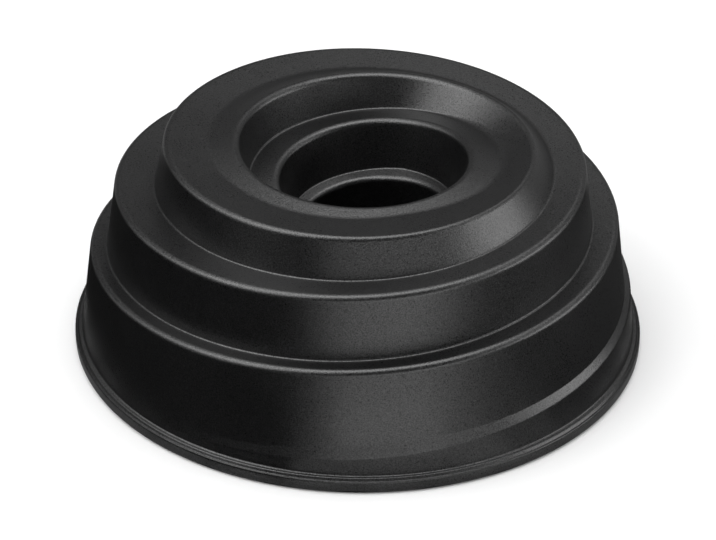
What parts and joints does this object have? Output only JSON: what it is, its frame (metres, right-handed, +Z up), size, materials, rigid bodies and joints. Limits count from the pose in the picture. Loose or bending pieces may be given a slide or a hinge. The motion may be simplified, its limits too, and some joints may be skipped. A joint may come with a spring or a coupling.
{
  "type": "twist bundt pan",
  "caption": "Ring cake mould in black coated sheet steel with one stepped spiral winding up the wall, over the crown and down the centre tube; shown rim down.",
  "frame": {"origin": "centre of the flat ring that the rolled rim stands on, with the pan upside down as pictured", "axes": "+Z runs up the pan's axis through the crown and is the shortest side; the picture looks along +Y, so -Y is the front and +X the right"},
  "size_m": [0.2498, 0.2498, 0.0976],
  "materials": {
    "black_coating": "matte black non-stick coating with a fine grain",
    "wire_steel": "plain drawn steel wire"
  },
  "bodies": {
    "root": {"pan_shell": "black_coating", "chimney_tube": "black_coating", "rim_wire": "wire_steel"}
  },
  "joints": []
}
